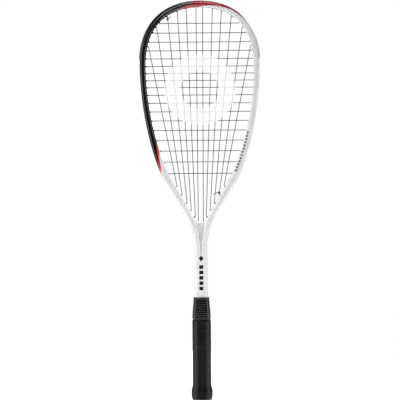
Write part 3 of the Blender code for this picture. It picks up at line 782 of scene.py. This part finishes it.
CROSS_ROWS = cross_heights()
MAIN_HOLES_TOP = [(nearest_run(Vector(p), OUTER)[0], Vector(p)) for p in MAIN_TOPS]
MAIN_HOLES_BOTTOM = [(nearest_run(Vector(p), OUTER)[0], Vector(p)) for p in MAIN_BOTTOMS]
CROSS_ENDS = [point_at_height(INNER[PAST_TOP:], z) for z in CROSS_ROWS]
CROSS_HOLES = [(nearest_run(p, OUTER)[0], p) for p in CROSS_ENDS]


def mouth(hole, side):
    """Where a string meets its hole inside the head, just clear of the barrel's lip."""
    run, inner = hole
    if hole is MAIN_HOLES_BOTTOM[0]:
        return Vector((side * inner.x, 0, inner.y + MOUTH_CLEAR))
    outside = place_along(run, 0, 0)
    inside = Vector((inner.x, 0, inner.y))
    spot = inside + (inside - outside).normalized() * (BARREL_PROUD + MOUTH_CLEAR)
    return Vector((side * spot.x, 0, spot.z))


def main_x_at(i, z):
    """Distance of main i from the middle at a height, or None beyond its ends."""
    top, bottom = mouth(MAIN_HOLES_TOP[i], 1), mouth(MAIN_HOLES_BOTTOM[i], 1)
    if not bottom.z < z < top.z - 2:
        return None
    return bottom.x + (top.x - bottom.x) * (z - bottom.z) / (top.z - bottom.z)


def columns_at(z):
    """The mains that a height crosses, left to right, as (column, x)."""
    spreads = [(i, main_x_at(i, z)) for i in range(MAIN_PAIRS)]
    present = [(i, x) for i, x in spreads if x is not None]
    return [(-i - 1, -x) for i, x in reversed(present)] + [(i, x) for i, x in present]


def front_cross(row, column):
    """Whether a cross passes in front of a main."""
    return (row + column) % 2 == 0


def woven(start, end, crossings):
    """Points of a string run that sways past its crossings, each (share along, signed sway)."""
    marks = [(0.0, 0.0)] + crossings + [(1.0, 0.0)]
    points = []
    for (share_a, sway_a), (share_b, sway_b) in zip(marks, marks[1:]):
        for k in range(STRING_SAMPLES):
            t = k / STRING_SAMPLES
            ease = (1 - math.cos(math.pi * t)) / 2
            place = start.lerp(end, lerp(share_a, share_b, t))
            points.append(place + Vector((0, lerp(sway_a, sway_b, ease), 0)))
    return points + [end]


def channel_loop(run_a, run_b, shift):
    """String path in the channel from one hole to the next, laid to one side."""
    span = run_b - run_a
    lead = math.copysign(min(3.0, abs(span) * 0.3), span)
    start, end = run_a + lead, run_b - lead
    count = max(2, round(abs(end - start) / 4))
    stops = [(run_a, LOOP_DEPTH - 0.6, 0), (run_a + lead * 0.2, LOOP_DEPTH, shift * 0.1)]
    stops += [(lerp(start, end, i / count), LOOP_DEPTH, shift) for i in range(count + 1)]
    stops += [(run_b - lead * 0.2, LOOP_DEPTH, shift * 0.1), (run_b, LOOP_DEPTH - 0.6, 0)]
    return [place_along(*stop) for stop in stops]


def bridge_turn(side):
    """The centre mains turn round inside the bridge."""
    half = [(4.3, 300), (3.9, 298.8), (3.3, 298), (2.2, 297.4)]
    turn = half + [(-x, z) for x, z in reversed(half)]
    return [Vector((side * x, 0, z)) for x, z in turn]


def mains_path():
    """The string through the twelve mains, left to right; it ends in the channel beside the knot's hole."""
    order = [(-1, i) for i in reversed(range(MAIN_PAIRS))] + [(1, i) for i in range(MAIN_PAIRS)]
    path = []
    for step, (side, i) in enumerate(order):
        rising = step % 2 == 0
        top, bottom = mouth(MAIN_HOLES_TOP[i], side), mouth(MAIN_HOLES_BOTTOM[i], side)
        column = i if side > 0 else -i - 1
        crossings = []
        for row, z in enumerate(CROSS_ROWS):
            if main_x_at(i, z) is not None:
                sway = MAIN_SWAY if front_cross(row, column) else -MAIN_SWAY
                crossings.append(((z - bottom.z) / (top.z - bottom.z), sway))
        crossings.sort()
        run = woven(bottom, top, crossings)
        path += run if rising else list(reversed(run))
        if step == len(order) - 1:
            return path + channel_loop(MAIN_HOLES_BOTTOM[i][0], MAIN_HOLES_BOTTOM[i - 1][0], LOOP_SHIFT)[:-2]
        next_side, j = order[step + 1]
        holes = MAIN_HOLES_TOP if rising else MAIN_HOLES_BOTTOM
        if i == 0 and not rising:
            path += bridge_turn(side)
        else:
            path += channel_loop(side * holes[i][0], next_side * holes[j][0], -LOOP_SHIFT)


def crosses_path():
    """The string on through the crosses, over and under the mains, from one knot to the first main."""
    knot_hole = MAIN_HOLES_TOP[KNOTS[1][1]]
    path = channel_loop(-knot_hole[0], -CROSS_HOLES[0][0], LOOP_SHIFT)[2:]
    for row, (z, hole) in enumerate(zip(CROSS_ROWS, CROSS_HOLES)):
        side = 1 if row % 2 == 0 else -1
        left, right = mouth(hole, -1), mouth(hole, 1)
        crossings = []
        for column, x in columns_at(z):
            sway = -CROSS_SWAY if front_cross(row, column) else CROSS_SWAY
            crossings.append(((x - left.x) / (right.x - left.x), sway))
        run = woven(left, right, crossings)
        path += run if side > 0 else list(reversed(run))
        if row < CROSS_COUNT - 1:
            path += channel_loop(side * hole[0], side * CROSS_HOLES[row + 1][0], LOOP_SHIFT)
    first_main = MAIN_HOLES_BOTTOM[-1]
    path += channel_loop(-CROSS_HOLES[-1][0], -first_main[0], LOOP_SHIFT)
    inside = mouth(first_main, -1)
    return path + [inside + (path[-1] - inside).normalized() * STRING_JOIN]


def string_piece(name, points, material, replaces):
    """A round string through points, as a mesh tube."""
    data = bpy.data.curves.new(name, "CURVE")
    data.dimensions = "3D"
    spline = data.splines.new("POLY")
    spline.points.add(len(points) - 1)
    for point, place in zip(spline.points, points):
        point.co = (*(place * MM), 1)
    data.bevel_depth = STRING_R * MM
    data.bevel_resolution = 3
    data.use_fill_caps = True
    source = bpy.data.objects.new(name + "_route", data)
    bpy.context.scene.collection.objects.link(source)
    bpy.context.view_layer.update()
    mesh = bpy.data.meshes.new_from_object(source.evaluated_get(bpy.context.evaluated_depsgraph_get()))
    bpy.data.objects.remove(source)
    form = bmesh.new()
    form.from_mesh(mesh)
    bpy.data.meshes.remove(mesh)
    bmesh.ops.remove_doubles(form, verts=form.verts, dist=1e-7)
    return finish_piece(form, name, material, replaces=replaces, smooth_angle=60)


def knot_points(main, side, z, tail):
    """Turns of a half hitch round a main and a tail that springs away."""
    centre = Vector((side * main_x_at(main, z), 0, z))
    along = (centre - Vector((side * main_x_at(main, z - 1), 0, z - 1))).normalized()
    across = Vector((0, -side, 0)).cross(along).normalized()
    front = along.cross(across)
    radius = 2 * STRING_R + KNOT_CLEAR
    points = []
    for i in range(2 * KNOT_SIDES + 1):
        turns = i / KNOT_SIDES
        angle = math.tau * turns
        round_main = radius * (math.cos(angle) * across + math.sin(angle) * front)
        points.append(centre + round_main + along * KNOT_PITCH * (turns - 1))
    last = points[-1]
    curl = along * TAIL_CURL * side
    for s in (0.12, 0.25, 0.4, 0.55, 0.7, 0.85, 1.0):
        points.append(last + Vector(tail) * s + curl * s * (1 - s))
    return points


def strings(material):
    """Mains, crosses and the tie-off knots."""
    string_piece("mains_string", mains_path(), material, ["string_mains"])
    string_piece("crosses_string", crosses_path(), material, ["string_crosses"])
    for name, main, side, z, tail in KNOTS:
        string_piece(name + "_string", knot_points(main, side, z, tail), material, [name])


# ---------------------------------------------------------------- handle

def section_sizes(sections, z):
    """Half width and half depth of a lofted handle piece at a height."""
    for (z_a, x_a, y_a), (z_b, x_b, y_b) in zip(sections, sections[1:]):
        if z_a <= z <= z_b:
            share = (z - z_a) / (z_b - z_a)
            return lerp(x_a, x_b, share), lerp(y_a, y_b, share)
    return sections[-1][1:]


def rounded_octagon(angle, half_x, half_y):
    """Point of an oblong with cut and softened corners, in the direction of an angle."""
    c, s = math.cos(angle), math.sin(angle)
    diagonal = (half_x + half_y - CORNER_CUT * half_x) / math.sqrt(2)
    pulls = [abs(c) / half_x, abs(s) / half_y, (abs(c) + abs(s)) / math.sqrt(2) / diagonal]
    reach = sum(pull ** CORNER_POWER for pull in pulls) ** (-1 / CORNER_POWER)
    return c * reach, s * reach


def octagon_ring(z, half_x, half_y, sides=64):
    """A level ring of a rounded octagon."""
    return [Vector((*rounded_octagon(math.tau * i / sides, half_x, half_y), z)) for i in range(sides)]


def squircle_ring(z, half_x, half_y, power, sides=80):
    """A level ring of a rounded oblong; a larger power has squarer corners."""
    ring = []
    for i in range(sides):
        c, s = math.cos(math.tau * i / sides), math.sin(math.tau * i / sides)
        reach = (abs(c / half_x) ** power + abs(s / half_y) ** power) ** (-1 / power)
        ring.append(Vector((c * reach, s * reach, z)))
    return ring


def heights(sections, pitch):
    """Levels through a lofted piece: its own sections and steps between them."""
    levels = []
    for (z_a, *_), (z_b, *_) in zip(sections, sections[1:]):
        count = max(1, math.ceil((z_b - z_a) / pitch))
        levels += [lerp(z_a, z_b, i / count) for i in range(count)]
    return levels + [sections[-1][0]]


def grip(material):
    """Tape wound up the handle in a helix: each turn overlaps the last one by a step."""
    sides = 96
    rings = []
    tags = []
    for z in heights(GRIP, 1.0):
        half_x, half_y = section_sizes(GRIP, z)
        ring = []
        marks = []
        for turn in (i / sides for i in range(sides)):
            phase = (z / TAPE_PITCH - turn) % 1.0
            groove = bell(phase, 0.985, 0.018) + bell(phase, -0.015, 0.018)
            lap = 0.6 * (TAPE_SEAM * bell(phase, 0.1, 0.085) - 0.5 * groove)
            x, y = rounded_octagon(math.tau * turn, half_x + lap, half_y + lap)
            ring.append(Vector((x, y, z)))
            marks.append((turn, phase))
        rings.append(ring)
        tags.append(marks)
    for z in (GRIP[-1][0], 136, 28, 15, 6, GRIP[0][0]):
        half_x, half_y = section_sizes(GRIP, z)
        rings.append(octagon_ring(z, half_x - GRIP_INSIDE, half_y - GRIP_INSIDE, sides))
        tags.append([INSIDE_TAG] * sides)
    form = skin(rings, tags, ("turn", "seam"))
    close_open_edges(form)
    return finish_piece(form, "wrapped_grip", material, replaces=["grip_tape"], smooth_angle=50)


def cap(material):
    """Butt cap: a cup with a rounded rim and a seat for the badge in its underside."""
    seat_x, seat_y, seat_depth = BADGE_SEAT
    seat = [(seat_depth, seat_x - 0.2, seat_y - 0.2), (seat_depth, seat_x, seat_y), (0.1, seat_x, seat_y),
            (0.0, seat_x + 0.15, seat_y + 0.15)]
    form = skin([octagon_ring(*level) for level in seat + CAP + CAP_INSIDE], cap_start=True, cap_end=True)
    return finish_piece(form, "butt_cup", material, replaces=["butt_cap"])


def badge(material):
    """Blank disc let into the underside of the cap, with a shallow raised rim."""
    form = skin([octagon_ring(*level) for level in BADGE], cap_start=True, cap_end=True)
    return finish_piece(form, "blank_badge", material, replaces=["butt_badge"])


def collar(material):
    """Rubber sleeve with rounded ribs and a rolled top edge."""
    rings = []
    for z in heights(COLLAR, 0.48):
        half_x, half_y = section_sizes(COLLAR, z)
        swell = ROLL_HEIGHT * bell(z, ROLL_AT, 1.0)
        if RIBS[0] < z < RIBS[1]:
            wave = math.sin(math.pi * ((z - RIBS[0]) / RIB_PITCH % 1.0))
            swell -= RIB_HEIGHT * (1 - wave ** 0.5)
        rings.append(squircle_ring(z, half_x + swell, half_y + swell, COLLAR_POWER))
    rings += [squircle_ring(*level, COLLAR_INSIDE_POWER) for level in COLLAR_INSIDE]
    form = skin(rings)
    close_open_edges(form)
    return finish_piece(form, "ribbed_collar", material, body="collar", replaces=["rubber_collar"],
                        smooth_angle=60)


# ---------------------------------------------------------------- stage

def studio():
    """Pale floor, soft lights and the camera."""
    form = bmesh.new()
    bmesh.ops.create_circle(form, cap_ends=True, segments=96, radius=FLOOR_RADIUS)
    mesh = bpy.data.meshes.new("floor")
    form.to_mesh(mesh)
    form.free()
    floor = bpy.data.objects.new("floor", mesh)
    bpy.context.scene.collection.objects.link(floor)
    floor.location.z = -FLOOR_DROP
    pale, _, shader = new_material("pale_floor", roughness=0.9, specular=0.1)
    shader.inputs["Base Color"].default_value = (0.95, 0.95, 0.95, 1)
    mesh.materials.append(pale)
    for name, place, aim, size, power in LAMPS:
        data = bpy.data.lights.new(name, "AREA")
        data.shape = "RECTANGLE"
        data.size, data.size_y = size
        data.energy = power
        lamp = bpy.data.objects.new(name, data)
        bpy.context.scene.collection.objects.link(lamp)
        lamp.location = place
        lamp.rotation_euler = (Vector(aim) - Vector(place)).to_track_quat("-Z", "Y").to_euler()
    world = bpy.data.worlds.new("studio")
    bpy.context.scene.world = world
    world.use_nodes = True
    tree = world.node_tree
    seen = node(tree, "ShaderNodeLightPath").outputs["Is Camera Ray"]
    glow = tree.nodes["Background"]
    glow.inputs["Color"].default_value = (1, 1, 1, 1)
    tree.links.new(math_node(tree, "MULTIPLY_ADD", seen, 1 - ROOM_GLOW, ROOM_GLOW), glow.inputs["Strength"])
    bpy.context.scene.view_settings.view_transform = "Standard"
    camera_data = bpy.data.cameras.new("camera")
    camera_data.lens = LENS
    camera = bpy.data.objects.new("camera", camera_data)
    bpy.context.scene.collection.objects.link(camera)
    camera.location = (CAMERA_X, -VIEW_WIDTH / SENSOR * LENS, CAMERA_HEIGHT)
    camera.rotation_euler = (math.pi / 2, math.radians(CAMERA_ROLL), 0)
    bpy.context.scene.camera = camera


def dress_kept_nodes():
    """Finishes for the CAD pieces that keep their own shape."""
    foam = simple_finish("moulded_foam", (0.42, 0.36, 0.27), roughness=0.85,
                         grain_size=260.0, grain_depth=0.5)
    steel = simple_finish("staple_wire", (0.62, 0.62, 0.63), roughness=0.3,
                          grain_size=900.0, grain_depth=0.05, metallic=1.0)
    vinyl = simple_finish("vinyl_band", (0.02, 0.02, 0.021), roughness=0.35,
                          grain_size=500.0, grain_depth=0.05)
    block = simple_finish("centre_grommet", (0.5, 0.5, 0.505), roughness=0.42,
                          grain_size=600.0, grain_depth=0.04)
    for name, finish in (("handle_shell_front", foam), ("handle_shell_back", foam), ("shaft_plug", foam),
                         ("butt_staple_left", steel), ("butt_staple_right", steel), ("finishing_tape", vinyl),
                         ("throat_grommet_centre", block)):
        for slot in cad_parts[name].material_slots:
            slot.material = finish


def build():
    """The whole visual model."""
    studio()
    hoop_and_shaft(frame_lacquer())
    bridge(web_lacquer())
    grommets(grommet_nylon(), clear_nylon())
    strings(string_nylon())
    grip(grip_leather())
    cap(simple_finish("cap_plastic", (0.11, 0.11, 0.112), roughness=0.5,
                      grain_size=500.0, grain_depth=0.08))
    badge(simple_finish("badge_plastic", (0.2, 0.2, 0.205), roughness=0.25,
                        grain_size=800.0, grain_depth=0.02))
    collar(collar_rubber())
    dress_kept_nodes()


build()
